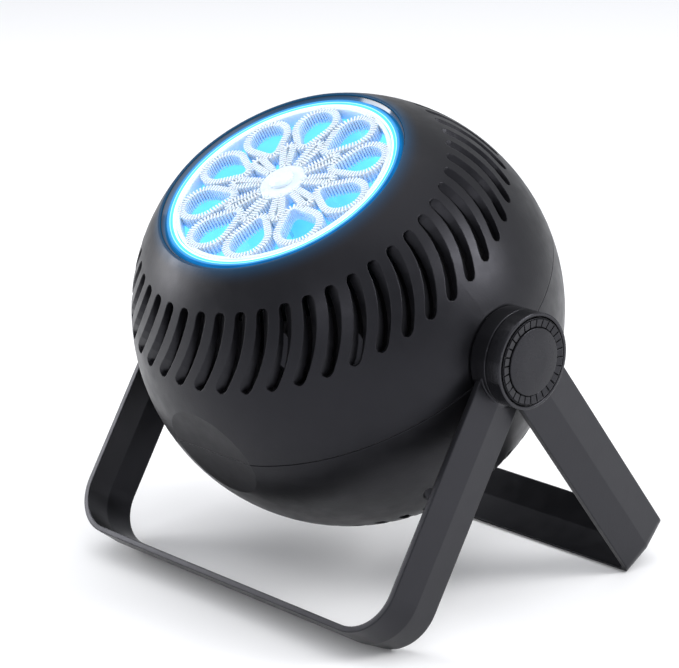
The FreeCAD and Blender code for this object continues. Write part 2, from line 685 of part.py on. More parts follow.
tank_cup = turned("tank_cup", [
    ("pipe_r - pipe_wall", "tank_z"), ("tank_r", "tank_z"), ("tank_r", "tank_top"),
    ("tank_r - tank_wall", "tank_top"), ("tank_r - tank_wall", "tank_z + tank_wall"),
    ("pipe_r", "tank_z + tank_wall"), ("pipe_r", "pipe_top"), ("pipe_r - pipe_wall", "pipe_top"),
])
air_collar = disc("air_collar", "air_r + tank_wall", "tank_z", "pipe_top + 2", ("0", "air_at"))
air_bore = disc("air_bore", "air_r", "tank_z - 1", "mouth_z", ("0", "air_at"))
wiper_rib = block(
    "wiper_rib",
    ("-wiper_w / 2", "-wiper_at - wiper_t - screw_clear - wiper_rib", "tank_z + tank_wall / 2"),
    ("wiper_w / 2", "-wiper_at - wiper_t - screw_clear", "wheel_z - gap - wiper_bare"),
)
tank_solid = fuse("tank_solid", [tank_cup, air_collar, wiper_rib])
finish_part(cut("tank_cut", tank_solid, air_bore), "solution_tank", HEAD)

# a rubber strip across the tank that strips spare liquid off the back of the wheel
finish_part(padded("wiper_strip", "XY_Plane", [
    ("-wiper_w / 2", "-wiper_at - wiper_t"), ("wiper_w / 2", "-wiper_at - wiper_t"),
    ("wiper_w / 2", "-wiper_at"), ("-wiper_w / 2", "-wiper_at"),
], "wheel_z - gap - wiper_high", "wheel_z - gap"), "wiper_blade", HEAD)

# --------------------------------------------------------------------------------------------
# The chassis plate, the drive motor and the shaft's bushes
# --------------------------------------------------------------------------------------------

plate = common("plate_round", [
    disc("plate_disc", "inner_r - plate_in", "plate_z", "plate_top"),
    block("plate_limits", ("9 - inner_r", "-inner_r", "plate_z"), ("inner_r - 9", "inner_r", "plate_top")),
])
POST_SPOTS = [polar(val("post_at"), angle) for angle in (30, 150, 270)]
posts = posts_at("tank_posts", POST_SPOTS, "post_r", "plate_top - 0.5", "tank_z")
duct_hole = block("duct_hole", ("-fan_w / 2 - fan_run", "air_at - duct_w / 2", "plate_z - 1"),
                  ("fan_w / 2 + fan_run", "air_at + duct_w / 2", "plate_top + 1"))
plate_holes = fuse("plate_holes", [
    duct_hole,
    disc("bush_hole", "bush_r + screw_clear", "plate_z - 1", "plate_top + 1"),
    disc("pinion_hole", "4", "plate_z - 1", "plate_top + 1", ("pinion_x", "0")),
    posts_at("boss_holes", SHELL_SPOTS, "shell_boss_r + gap", "plate_z - 1", "plate_top + 1"),
    posts_at(
        "plate_screw_holes", CHASSIS_SPOTS, "shell_screw_r + screw_clear", "plate_z - 1", "plate_top + 1"),
])
finish_part(cut("plate_cut", fuse("plate_solid", [plate, posts]), plate_holes), "chassis_plate", HEAD)
finish_part(screws("chassis_screw_set", CHASSIS_SPOTS, "plate_z", "plate_t + 8"), "chassis_screws", HEAD)

upper_bush_r = "pipe_r - pipe_wall - screw_clear"
finish_part(group("bush_pair", [
    tube("lower_bush", "bush_r", "shaft_r + shaft_clear", "plate_z", "plate_z + bush_len"),
    tube("upper_bush", upper_bush_r, "shaft_r + shaft_clear", "pipe_top - bush_len", "pipe_top"),
]), "shaft_bushes", HEAD)

DRIVE = HEAD * Placement(Vector(val("pinion_x"), 0, 0), Rotation())
finish_part(rod("gearbox_case", "gearbox_r", "plate_z - gearbox_len", "plate_z"), "gearbox", DRIVE)
can_top = "plate_z - gearbox_len"
can_low = "plate_z - gearbox_len - motor_len"
finish_part(fuse("drive_motor_solid", [
    disc("drive_can", "motor_r", can_low, can_top, ("pinion_x", "0")),
    disc("drive_end", "motor_r / 3", can_low + " - 2", can_top, ("pinion_x", "0")),
]), "gear_motor", HEAD)

# --------------------------------------------------------------------------------------------
# The fan: scroll housing, cover, impeller and motor, on an axis along X
# --------------------------------------------------------------------------------------------

FAN_AT = Vector(0, val("fan_y"), val("fan_z"))


def scroll_face(inset):
    """Section of the scroll in the YZ plane: a spiral that opens into a straight outlet up Z."""
    outlet_y = val("air_at + duct_w / 2 + fan_wall") - inset
    tongue_y = val("air_at - duct_w / 2 - fan_wall") + inset
    wide = outlet_y - FAN_AT.y
    narrow = val("scroll_r + fan_wall") - inset
    top = val("plate_z")
    turns = 24
    start = math.acos((tongue_y - FAN_AT.y) / narrow)
    points = []
    for step in range(turns + 1):
        share = step / turns
        angle = start + share * (2 * math.pi - start)
        radius = narrow + (wide - narrow) * share
        points.append(FAN_AT + Vector(0, radius * math.cos(angle), radius * math.sin(angle)))
    curve = Part.BSplineCurve()
    curve.interpolate(points)
    corners = [points[-1], Vector(0, outlet_y, top), Vector(0, tongue_y, top), points[0]]
    edges = [curve.toShape()]
    edges += [Part.LineSegment(a, b).toShape() for a, b in zip(corners, corners[1:])]
    return Part.Face(Part.Wire(edges))


half_fan = val("fan_w / 2 + fan_run")
fan_wall = val("fan_wall")
scroll_outer = scroll_face(0).extrude(Vector(2 * half_fan + 2 * fan_wall, 0, 0))
scroll_outer.translate(Vector(-half_fan - fan_wall, 0, 0))
scroll_inner = scroll_face(fan_wall).extrude(Vector(2 * half_fan, 0, 0))
scroll_inner.translate(Vector(-half_fan, 0, 0))
scroll_shape = scroll_outer.cut(scroll_inner)
outlet = Part.makeBox(
    2 * half_fan, val("duct_w"), 4, Vector(-half_fan, val("air_at - duct_w / 2"), val("plate_z") - 2))
scroll_shape = scroll_shape.cut(outlet)
motor_bore = Part.makeCylinder(3, fan_wall + 2, FAN_AT + Vector(half_fan - 1, 0, 0), X_AXIS)
eye = Part.makeCylinder(val("eye_r"), fan_wall + 2, FAN_AT + Vector(-half_fan - fan_wall - 1, 0, 0), X_AXIS)
cover_zone = Part.makeBox(fan_wall, 200, 200, Vector(-half_fan - fan_wall, -100, -100))
finish_part(fixed("scroll", scroll_shape.cut(motor_bore).cut(cover_zone)), "fan_housing", HEAD)
finish_part(fixed("scroll_lid", scroll_shape.common(cover_zone).cut(eye)), "fan_cover", HEAD)

blade = Part.makeBox(val("fan_w"), 6.5, 0.8, Vector(-val("fan_w") / 2, val("fan_r") - 6.5, -0.4))
blade.rotate(Vector(0, val("fan_r") - 3, 0), X_AXIS, 35)
impeller = Part.makeCylinder(val("fan_r"), 1.4, Vector(val("fan_w") / 2 - 1.4, 0, 0), X_AXIS)
impeller = impeller.fuse(Part.makeCylinder(4, val("fan_w") - 4, Vector(-val("fan_w") / 2 + 4, 0, 0), X_AXIS))
blades = []
for index in range(int(val("fan_blades"))):
    copy = blade.copy()
    copy.rotate(Vector(), X_AXIS, index * 360.0 / val("fan_blades"))
    blades.append(copy)
hoop = Part.makeCylinder(val("fan_r"), 1.2, Vector(-val("fan_w") / 2, 0, 0), X_AXIS).cut(
    Part.makeCylinder(val("fan_r") - 5, 1.2, Vector(-val("fan_w") / 2, 0, 0), X_AXIS))
impeller = impeller.fuse(blades + [hoop]).common(
    Part.makeCylinder(val("fan_r"), val("fan_w"), Vector(-val("fan_w") / 2, 0, 0), X_AXIS))
fan_pin = Part.makeCylinder(1.0, half_fan + fan_wall + 4, Vector(-2, 0, 0), X_AXIS)
impeller = impeller.fuse(fan_pin)
impeller.translate(FAN_AT)
finish_part(fixed("impeller_moulding", impeller), "fan_impeller", HEAD)

fan_motor = Part.makeCylinder(
    val("motor_r"), val("motor_len"), FAN_AT + Vector(half_fan + fan_wall, 0, 0), X_AXIS)
fan_motor = fan_motor.cut(Part.makeCylinder(1.05, 3, FAN_AT + Vector(half_fan + fan_wall, 0, 0), X_AXIS))
finish_part(fixed("fan_motor_can", fan_motor), "fan_motor", HEAD)

# the duct turns the scroll's square outlet into the tank's round collar
duct_low = val("plate_top")
duct_high = val("tank_z")


def duct_shape(grow):
    half_x = half_fan + grow
    half_y = val("duct_w") / 2 + grow
    low = [
        Vector(sign_x * half_x, val("air_at") + sign_y * half_y, duct_low)
        for sign_x, sign_y in ((-1, -1), (1, -1), (1, 1), (-1, 1))
    ]
    bottom = Part.makePolygon(low + low[:1])
    top = Part.Wire(Part.makeCircle(val("air_r") + grow, Vector(0, val("air_at"), duct_high)))
    return Part.makeLoft([bottom, top], True, True)


finish_part(fixed("duct_moulding", duct_shape(val("tank_wall")).cut(duct_shape(0))), "air_duct", HEAD)

# --------------------------------------------------------------------------------------------
# Battery: two cells side by side in a tray under the plate
# --------------------------------------------------------------------------------------------

CELL_ROWS = ("cell_top", "cell_top - 2 * cell_r - cell_apart")
cell_shapes = []
for row in CELL_ROWS:
    start = Vector(-val("cell_len") / 2, val("cell_y"), val(row))
    can = Part.makeCylinder(val("cell_r"), val("cell_len") - 1.5, start, X_AXIS)
    cap = Part.makeCylinder(3.2, 1.5, start + Vector(val("cell_len") - 1.5, 0, 0), X_AXIS)
    cell_shapes.append(can.fuse(cap))
finish_part(fixed("cell_pair", Part.makeCompound(cell_shapes)), "battery_cells", HEAD)

cells_low = "cell_top - 3 * cell_r - cell_apart - gap"
tray_outer = block(
    "tray_outer",
    ("-cell_len / 2 - gap - tray_wall", "cell_y - cell_r - gap", cells_low + " - tray_wall"),
    ("cell_len / 2 + gap + tray_wall", "cell_y + cell_r + gap + tray_wall", "plate_z"),
)
tray_inner = block(
    "tray_inner",
    ("-cell_len / 2 - gap", "cell_y - cell_r - gap - 1", cells_low),
    ("cell_len / 2 + gap", "cell_y + cell_r + gap", "cell_top + cell_r + gap"),
)
tray_top = block(
    "tray_top",
    ("-cell_len / 2 - gap", "cell_y - cell_r - gap - 1", "cell_top + cell_r + gap + tray_wall"),
    ("cell_len / 2 + gap", "cell_y + cell_r + gap", "plate_z + 1"),
)
finish_part(cut("tray_cut", tray_outer, fuse("tray_spaces", [tray_inner, tray_top])), "battery_tray", HEAD)

# --------------------------------------------------------------------------------------------
# Controls behind the flat panel of the rear shell
# --------------------------------------------------------------------------------------------

PANEL = HEAD * CONTROL
board = block(
    "main_board_blank",
    ("-main_board_x / 2", "-main_board_y / 2", "main_board_z - board_t"),
    ("main_board_x / 2", "main_board_y / 2", "main_board_z"),
)
finish_part(fuse("main_board_solid", [board, block(
    "main_chip", ("-4", "3", "main_board_z - board_t - 1"), ("4", "10", "main_board_z - board_t"))]),
    "main_board", PANEL)
finish_part(fuse("switch_solid", [
    block("switch_base", ("button_x - 3", "-3", "main_board_z"), ("button_x + 3", "3", "main_board_z + 3.4")),
    disc("switch_key", "1.7", "main_board_z + 3.4", "main_board_z + 4.6", ("button_x", "0")),
]), "tact_switch", PANEL)
button_body = turned("button", [
    ("0", "main_board_z + 5.6"), ("2", "main_board_z + 5.6"), ("2", "panel_in_z - button_clear - flange"),
    ("button_r + 1.4", "panel_in_z - button_clear - flange"), ("button_r + 1.4", "panel_in_z - button_clear"),
    ("button_r", "panel_in_z - button_clear"), ("button_r", "panel_z + button_up - 0.5"),
    ("button_r - 0.5", "panel_z + button_up"), ("button_r - 2", "panel_z + button_up - 0.25"),
    ("0", "panel_z + button_up - 0.4"),
])
finish_part(button_body, "power_button", PANEL * Placement(Vector(val("button_x"), 0, 0), Rotation()))

inlet_shell = block(
    "inlet_outer",
    ("inlet_x - inlet_w / 2", "-inlet_t / 2", "main_board_z"),
    ("inlet_x + inlet_w / 2", "inlet_t / 2", "panel_z - 0.4"),
)
inlet_space = block(
    "inlet_inner",
    ("inlet_x - inlet_w / 2 + inlet_wall", "-inlet_t / 2 + inlet_wall", "main_board_z + 1"),
    ("inlet_x + inlet_w / 2 - inlet_wall", "inlet_t / 2 - inlet_wall", "panel_z"),
)
inlet_tongue = block(
    "inlet_tongue",
    ("inlet_x - 3.3", "-0.35", "main_board_z + 0.5"),
    ("inlet_x + 3.3", "0.35", "panel_z - 1.2"),
)
inlet_hollow = cut("inlet_hollow", inlet_shell, inlet_space)
finish_part(fuse("inlet_solid", [inlet_hollow, inlet_tongue]), "usb_c_inlet", PANEL)
finish_part(rod("lens_rod", "lens_r", "main_board_z + 0.3", "panel_z + 0.1"), "indicator_lens",
            PANEL * Placement(Vector(0, -8, 0), Rotation()))

# --------------------------------------------------------------------------------------------
# Pivots: an axle, a stud, two washers and a knob on each side
# --------------------------------------------------------------------------------------------

studs = []
inner_washers = []
outer_washers = []
for side, place in SIDES.items():
    axle = turned("axle_" + side, [
        ("stud_r + shaft_clear", "pad_x - gap - axle_flange"), ("axle_flange_r", "pad_x - gap - axle_flange"),
        ("axle_flange_r", "pad_x - gap"), ("axle_r", "pad_x - gap"), ("axle_r", "cup_x - gap"),
        ("stud_r + shaft_clear", "cup_x - gap"),
    ])
    finish_part(axle, "pivot_axle_" + side, HEAD * place)
    stud = turned("stud_" + side, [
        ("0", "pad_x - 5 - axle_flange"), ("stud_r + 2", "pad_x - 5 - axle_flange"),
        ("stud_r + 2", "pad_x - gap - axle_flange"), ("stud_r", "pad_x - gap - axle_flange"),
        ("stud_r", "knob_out - 2.2"), ("0", "knob_out - 2.2"),
    ])
    stud.Placement = place
    studs.append(stud)
    washer = tube("inner_washer_" + side, "washer_r", "axle_r + gap",
                  "pole_x + running", "pole_x + running + washer_t")
    washer.Placement = place
    inner_washers.append(washer)
    washer = tube("outer_washer_" + side, "washer_r", "axle_r + gap",
                  "front_hub_out + running", "front_hub_out + running + washer_t")
    washer.Placement = place
    outer_washers.append(washer)

    knob = turned("knob_" + side, [
        ("insert_r + screw_clear", "knob_x"), ("knob_r", "knob_x"), ("knob_r", "knob_out - 0.5"),
        ("knob_r - 0.5", "knob_out"), ("knob_face_r + 0.5", "knob_out - 0.2"),
        ("knob_face_r + 0.5", "knob_out - knob_step"), ("knob_face_r", "knob_out - knob_step"),
        ("knob_face_r * 0.7", "knob_out - knob_step + 0.35"), ("0", "knob_out - knob_step + 0.5"),
        ("0", "knob_out - 1.9"), ("insert_r + screw_clear", "knob_out - 1.9"),
    ])
    rib = Part.makeBox(
        val("knob_r - knob_face_r - 1.2"), val("rib_w"), val("rib_t + 0.4"),
        Vector(val("knob_face_r + 0.7"), -val("rib_w") / 2, val("knob_out") - 0.4))
    ribs = fixed("knob_ribs_" + side, around(rib, val("knob_ribs")))
    finish_part(fuse("knob_solid_" + side, [knob, ribs]), "knob_" + side, LEVEL * place)
    insert = tube("insert_" + side, "insert_r", "stud_r + shaft_clear", "knob_x", "knob_out - 2")
    finish_part(insert, "knob_insert_" + side, LEVEL * place)

finish_part(group("stud_pair", studs), "pivot_studs", HEAD)
finish_part(group("inner_washer_pair", inner_washers), "inner_washers", LEVEL)
finish_part(group("outer_washer_pair", outer_washers), "outer_washers", LEVEL)

# --------------------------------------------------------------------------------------------
# The two stands: bands with a shallow ridge, and a hub at each end
# --------------------------------------------------------------------------------------------


def u_wire(half_x, leg, corner, thick, grow, y):
    """U-shaped outline of the band at one place across its width, pushed outwards by grow."""
    out_x = half_x + thick + grow
    out_z = -leg - grow
    in_x = half_x + grow
    in_z = -leg + thick - grow
    radius = corner + grow
    inner = max(corner - thick, 0.5) + grow
    bend = math.sqrt(0.5)

    def at(x, z):
        return Vector(x, y, z)

    def corner_arc(x, z, r, sign):
        """Arc from the arm down to the bar at the corner (x, z)."""
        middle_x = sign * (x - r + r * bend)
        return Part.Arc(at(sign * x, z + r), at(middle_x, z + r - r * bend), at(sign * (x - r), z)).toShape()

    edges = [
        Part.LineSegment(at(out_x, 0), at(out_x, out_z + radius)).toShape(),
        corner_arc(out_x, out_z, radius, 1),
        Part.LineSegment(at(out_x - radius, out_z), at(radius - out_x, out_z)).toShape(),
        corner_arc(out_x, out_z, radius, -1),
        Part.LineSegment(at(-out_x, out_z + radius), at(-out_x, 0)).toShape(),
        Part.LineSegment(at(-out_x, 0), at(-in_x, 0)).toShape(),
        Part.LineSegment(at(-in_x, 0), at(-in_x, in_z + inner)).toShape(),
        corner_arc(in_x, in_z, inner, -1),
        Part.LineSegment(at(inner - in_x, in_z), at(in_x - inner, in_z)).toShape(),
        corner_arc(in_x, in_z, inner, 1),
        Part.LineSegment(at(in_x, in_z + inner), at(in_x, 0)).toShape(),
        Part.LineSegment(at(in_x, 0), at(out_x, 0)).toShape(),
    ]
    return Part.Wire(Part.__sortEdges__(edges))


def u_band(half_x, leg, corner, thick):
    """Band whose faces rise to a ridge along their middle line."""
    wires = [
        u_wire(half_x, leg, corner, thick, grow, y)
        for grow, y in ((0.0, -band_half), (val("ridge"), 0.0), (0.0, band_half))
    ]
    return Part.makeLoft(wires, True, True)


def stand(name, half_x, leg, corner, thick, hub_low, hub_high):
    """One stand's band and its two bored hubs."""
    band = fixed(name + "_band", u_band(val(half_x), val(leg), val(corner), val(thick)))
    hubs = []
    bores = []
    for side, turn in SIDES.items():
        hub = tube(name + "_hub_" + side, "pivot_hub_r", "axle_r + running", hub_low, hub_high)
        hub.Placement = turn
        hubs.append(hub)
        bore = fixed(name + "_bore_" + side, Part.makeCylinder(
            val("axle_r + running"), 200, Vector(), turn.multVec(Z_AXIS)))
        bores.append(bore)
    solid = fuse(name + "_solid", [band] + hubs)
    return cut(name + "_bored", solid, fuse(name + "_bores", bores))


def seat_for_washer(name, low, high):
    """Ring-shaped recess on both sides for a friction washer."""
    rings = []
    for side, turn in SIDES.items():
        ring = tube(name + "_" + side, "washer_r + gap", "axle_r", low, high)
        ring.Placement = turn
        rings.append(ring)
    return fuse(name, rings)


def foot_strip(name, place, stand_object):
    """What to cut off a stand below the floor and for the strip, and the strip itself."""
    to_floor = place.inverse()
    low = Part.makeBox(
        val("foot_len"), 300, val("foot_t"), Vector(-val("foot_len") / 2, -150, 0))
    low.Placement = to_floor
    below = Part.makeBox(400, 300, 60, Vector(-200, -150, -60))
    below.Placement = to_floor
    strip_shape = stand_object.Shape.common(low)
    return fixed(name + "_below", below), fixed(name + "_zone", low), strip_shape


front_base = stand("front_stand", "front_arm_in", "front_leg", "front_corner",
                   "front_band_t", "front_hub_x", "front_hub_out")
front_cut = cut("front_recessed", front_base, seat_for_washer(
    "front_washer_seat", "front_hub_x - 1", "pole_x + washer_t + 2 * running"))
below, zone, strip_shape = foot_strip("front_foot", FRONT, front_cut)
finish_part(cut("front_stand_cut", front_cut, fuse("front_foot_cut", [below, zone])), "front_stand", FRONT)
finish_part(fixed("front_foot_strip", strip_shape), "front_foot", FRONT)

rear_base = stand("rear_stand", "rear_arm_in", "rear_leg", "rear_corner",
                  "rear_band_t", "rear_hub_x", "rear_hub_out")
cups = []
for side, turn in SIDES.items():
    cup = disc("knob_cup_" + side, "pivot_hub_r - lip_wall", "cup_x", "rear_hub_out + 1")
    cup_core = disc("knob_cup_core_" + side, "1", "cup_x", "rear_hub_out")
    cup_frame = fuse("knob_cup_frame_" + side, [cup, cup_core])
    cup_frame.Placement = turn
    cups.append(cup_frame)
rear_cut = cut("rear_recessed", rear_base, fuse("rear_recesses", [seat_for_washer(
    "rear_washer_seat", "rear_hub_x - 1", "front_hub_out + washer_t + 2 * running")] + cups))
below, zone, strip_shape = foot_strip("rear_foot", REAR, rear_cut)
finish_part(cut("rear_stand_cut", rear_cut, fuse("rear_foot_cut", [below, zone])), "rear_stand", REAR)
finish_part(fixed("rear_foot_strip", strip_shape), "rear_foot", REAR)

# --------------------------------------------------------------------------------------------
# Check and write
# --------------------------------------------------------------------------------------------

doc.recompute()
for obj in doc.Objects:
    if "Invalid" in obj.State or "Error" in obj.State:
        raise RuntimeError("%s failed: %s" % (obj.Name, obj.State))
for obj in PARTS:
    if obj.Shape.isNull() or not obj.Shape.isValid() or not obj.Shape.Solids:
        raise RuntimeError("%s has no valid solid" % obj.Label)
os.makedirs("parts", exist_ok=True)
for obj in PARTS:
    obj.Shape.exportStep("parts/%s.step" % obj.Label)
    box = obj.Shape.BoundBox
    limits = (box.XMin, box.XMax, box.YMin, box.YMax, box.ZMin, box.ZMax)
    print("%-20s %2d solids %9.0f mm3" % (obj.Label, len(obj.Shape.Solids), obj.Shape.Volume), end="  ")
    print("x %7.2f %7.2f  y %7.2f %7.2f  z %7.2f %7.2f" % limits)
print("pivot %.3f mm up, rear stand at %.3f degrees" % (pivot_z, math.degrees(rear_angle)))
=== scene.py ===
import json
import math

import bmesh
import bpy
from mathutils import Matrix, Vector


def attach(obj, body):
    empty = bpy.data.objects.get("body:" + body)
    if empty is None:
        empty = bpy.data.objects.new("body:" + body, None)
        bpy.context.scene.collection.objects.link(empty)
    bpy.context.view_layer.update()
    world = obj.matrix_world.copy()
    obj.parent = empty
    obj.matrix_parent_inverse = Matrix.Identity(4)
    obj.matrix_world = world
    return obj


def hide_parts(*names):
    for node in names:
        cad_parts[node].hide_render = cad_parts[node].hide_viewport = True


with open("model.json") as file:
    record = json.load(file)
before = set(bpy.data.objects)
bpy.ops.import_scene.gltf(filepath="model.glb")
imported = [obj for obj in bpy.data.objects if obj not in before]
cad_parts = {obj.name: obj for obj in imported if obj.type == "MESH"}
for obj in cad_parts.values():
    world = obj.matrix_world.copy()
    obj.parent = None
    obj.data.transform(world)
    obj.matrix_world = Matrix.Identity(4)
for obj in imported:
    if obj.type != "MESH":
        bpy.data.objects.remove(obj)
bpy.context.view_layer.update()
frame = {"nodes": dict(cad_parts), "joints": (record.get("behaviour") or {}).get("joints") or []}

# A ball-shaped bubble machine between two folding U-shaped stands.  Lengths are in metres.
# The head frame has its origin at the ball's middle, +Z out of the mouth and X along the pivots.

# ---------------------------------------------------------------------------------------------
# Camera: a long lens from the front left, a little above the ball, rolled a touch.
# ---------------------------------------------------------------------------------------------
hinges = {joint["name"]: joint for joint in frame["joints"]}
pivot = Vector(hinges["head_tilt"]["pos_m"])
blow = Vector(hinges["wheel_spin"]["axis"])
tilt = math.atan2(-blow.y, blow.z)
head = Matrix.Translation(pivot) @ Matrix.Rotation(tilt, 4, "X")
ball_r = 0.080

azimuth, elevation, roll = math.radians(46.87), math.radians(17.63), -0.0279
distance, shift_x, shift_y = 11.380, -0.0403, -0.1131  # in radii of the ball
across = Vector((math.cos(azimuth), math.sin(azimuth), 0))
back = Vector((
    math.sin(azimuth) * math.cos(elevation), -math.cos(azimuth) * math.cos(elevation), math.sin(elevation)))
up = back.cross(across)
camera_x = across * math.cos(roll) + up * math.sin(roll)
camera_y = up * math.cos(roll) - across * math.sin(roll)
place = pivot + ball_r * (distance * back + shift_x * camera_x + shift_y * camera_y)
camera = bpy.data.objects.new("camera", bpy.data.cameras.new("camera"))
camera.data.lens = 130.4
camera.data.sensor_width = 36
camera.data.clip_start = 0.05
camera.matrix_world = Matrix((
    (camera_x.x, camera_y.x, back.x, place.x),
    (camera_x.y, camera_y.y, back.y, place.y),
    (camera_x.z, camera_y.z, back.z, place.z),
    (0, 0, 0, 1),
))
bpy.context.scene.collection.objects.link(camera)
bpy.context.scene.camera = camera

# ---------------------------------------------------------------------------------------------
# Studio: a wide white floor, a pale surround and soft boxes above, at both sides and in front.
# ---------------------------------------------------------------------------------------------


def tone(code):
    """Linear colour of an sRGB hex value."""
    parts = [int(code[i:i + 2], 16) / 255 for i in (0, 2, 4)]
    return tuple(c / 12.92 if c <= 0.04045 else ((c + 0.055) / 1.055) ** 2.4 for c in parts) + (1.0,)


def feed(tree, item, values):
    """Set a node's inputs to numbers, or link them to other outputs."""
    for socket, value in values.items():
        if isinstance(value, bpy.types.NodeSocket):
            tree.links.new(value, item.inputs[socket])
        else:
            item.inputs[socket].default_value = value


def add(tree, kind, values=(), **settings):
    """One node with its settings and its inputs."""
    item = tree.nodes.new(kind)
    for name, setting in settings.items():
        setattr(item, name, setting)
    feed(tree, item, dict(values))
    return item


def stray(tree, source, low, high):
    """A noise spread over a range, for a gloss or a glow that is not quite even."""
    return add(tree, "ShaderNodeMapRange", {
        "Value": source.outputs["Fac"], "From Min": 0.3, "From Max": 0.7,
        "To Min": low, "To Max": high}).outputs["Result"]


def times(tree, first, second):
    """Product of two values."""
    return add(tree, "ShaderNodeMath", {0: first, 1: second}, operation="MULTIPLY").outputs["Value"]


def above(tree, value, limit):
    """One where the value is over the limit, else nought."""
    return add(tree, "ShaderNodeMath", {0: value, 1: limit}, operation="GREATER_THAN").outputs["Value"]


def blend(tree, share, first, second):
    """Mix of two colours."""
    return add(tree, "ShaderNodeMix", {"Factor": share, 6: first, 7: second}, data_type="RGBA").outputs[2]


def soft_box(name, aim_from, size, power, colour="FFFFFF"):
    """Square area light that faces the ball."""
    light = bpy.data.lights.new(name, "AREA")
    light.shape = "SQUARE"
    light.size = size
    light.energy = power
    light.color = tone(colour)[:3]
    lamp = bpy.data.objects.new(name, light)
    lamp.location = pivot + aim_from
    lamp.rotation_euler = aim_from.to_track_quat("Z", "Y").to_euler()
    bpy.context.scene.collection.objects.link(lamp)


soft_box("overhead_box", Vector((0.1, -0.1, 1.7)), 2.4, 22)
soft_box("left_box", Vector((-0.95, -0.5, 0.3)), 0.5, 7)
soft_box("right_box", Vector((0.9, 0.6, 0.5)), 0.45, 9)
soft_box("front_box", Vector((0.75, -0.9, 0.35)), 0.22, 1.6)
bpy.context.scene.view_settings.view_transform = "Standard"

world = bpy.data.worlds.new("pale_surround")
bpy.context.scene.world = world
world.use_nodes = True
feed(world.node_tree, world.node_tree.nodes["Background"], {"Color": tone("F4F6FA"), "Strength": 0.72})

floor_half = 6
floor_mesh = bpy.data.meshes.new("floor")
floor_mesh.from_pydata(
    [(x * floor_half, y * floor_half, 0) for x, y in ((-1, -1), (1, -1), (1, 1), (-1, 1))], [], [(0, 1, 2, 3)])
floor = bpy.data.objects.new("floor", floor_mesh)
bpy.context.scene.collection.objects.link(floor)
paper = bpy.data.materials.new("white_paper_sweep")
paper.use_nodes = True
feed(paper.node_tree, paper.node_tree.nodes["Principled BSDF"], {
    "Base Color": tone("F7F7F8"), "Roughness": 0.55, "Specular IOR Level": 0.25})
floor_mesh.materials.append(paper)

# ---------------------------------------------------------------------------------------------
# Shells: two injection-moulded ABS halves, spark-eroded to a fine matt black.  The front one has
# 45 twisted louvres round the mouth, and its rim has a painted blue glow, an emission that stands
# in for the light of the ring inside it.
# ---------------------------------------------------------------------------------------------


def finish(name):
    """New material: its tree, its shader and the piece's own coordinates."""
    material = bpy.data.materials.new(name)
    material.use_nodes = True
    tree = material.node_tree
    coordinates = add(tree, "ShaderNodeTexCoord").outputs["Object"]
    return material, tree, tree.nodes["Principled BSDF"], coordinates


def moulded(name, dark, light, rough, grain, depth, edge, specular=0.5):
    """Moulded plastic: a slight flow mottle, a spark-eroded grain (size in metres) and soft edges."""
    material, tree, shader, coordinates = finish(name)
    mottle = add(tree, "ShaderNodeTexNoise", {"Vector": coordinates, "Scale": 45.0, "Detail": 3.0})
    wear = add(tree, "ShaderNodeTexNoise", {"Vector": coordinates, "Scale": 160.0, "Detail": 4.0})
    sparks = add(tree, "ShaderNodeTexNoise", {"Vector": coordinates, "Scale": 1 / grain, "Detail": 2.0})
    soft = add(tree, "ShaderNodeBevel", {"Radius": edge}, samples=6)
    bump = add(tree, "ShaderNodeBump", {
        "Height": sparks.outputs["Fac"], "Normal": soft.outputs["Normal"], "Distance": depth, "Strength": 0.6})
    feed(tree, shader, {
        "Base Color": blend(tree, mottle.outputs["Fac"], tone(dark), tone(light)),
        "Roughness": stray(tree, wear, rough - 0.05, rough + 0.05), "Normal": bump.outputs["Normal"],
        "IOR": 1.53, "Specular IOR Level": specular, "Specular Tint": tone("F0F0FF")})
    return material


def parts_of(material):
    """Tree, shader and coordinates of a material that is made already, to add to it."""
    tree = material.node_tree
    return tree, tree.nodes["Principled BSDF"], tree.nodes["Texture Coordinate"].outputs["Object"]


def dress(material, *nodes):
    """Give CAD nodes their finish."""
    for name in nodes:
        node = frame["nodes"][name]
        node.data.materials.clear()
        node.data.materials.append(material)


def length_of(tree, vector, keep):
    """Length of a vector, of which only some directions are kept."""
    flat = add(tree, "ShaderNodeVectorMath", {0: vector, 1: keep}, operation="MULTIPLY").outputs["Vector"]
    return add(tree, "ShaderNodeVectorMath", {0: flat}, operation="LENGTH").outputs["Value"]


def head_point(tree, coordinates):
    """The same point in the head frame."""
    turned = head.inverted()
    return add(tree, "ShaderNodeMapping", {
        "Vector": coordinates, "Location": turned.translation, "Rotation": turned.to_euler()}).outputs["Vector"]


def head_radius(tree, coordinates):
    """Distance from the mouth's axis."""
    return length_of(tree, head_point(tree, coordinates), (1, 1, 0))


def head_height(tree, coordinates):
    """Height over the ball's middle along the mouth's axis."""
    return add(tree, "ShaderNodeSeparateXYZ", {"Vector": head_point(tree, coordinates)}).outputs["Z"]


shell_abs = moulded("black_abs_spark_eroded", "09090B", "0D0D0F", 0.38, 0.0009, 0.00004, 0.0005, 0.24)
tree, shader, coordinates = parts_of(shell_abs)
# Painted glow: emission on the shell, strongest at the mouth's edge and fading outward, stands in for the ring's
# blue light falling on it.
mouth_r, mouth_edge, spill = 0.0472, 0.0008, 0.0060
spill_low, spill_fall, painted_spill_strength = 0.052, 2.6, 0.35
painted_spill_near = add(tree, "ShaderNodeMapRange", {
    "Value": head_radius(tree, coordinates), "From Min": mouth_r - mouth_edge, "From Max": mouth_r + spill,
    "To Min": 1.0, "To Max": 0.0})
painted_spill_falloff = add(tree, "ShaderNodeMath", {0: painted_spill_near.outputs["Result"], 1: spill_fall}, operation="POWER")
outer = above(tree, head_height(tree, coordinates), spill_low)
glow = times(tree, painted_spill_falloff.outputs["Value"], outer)
feed(tree, shader, {"Emission Color": tone("1C86C8"), "Emission Strength": times(tree, glow, painted_spill_strength)})
dress(shell_abs, "front_shell", "rear_shell")

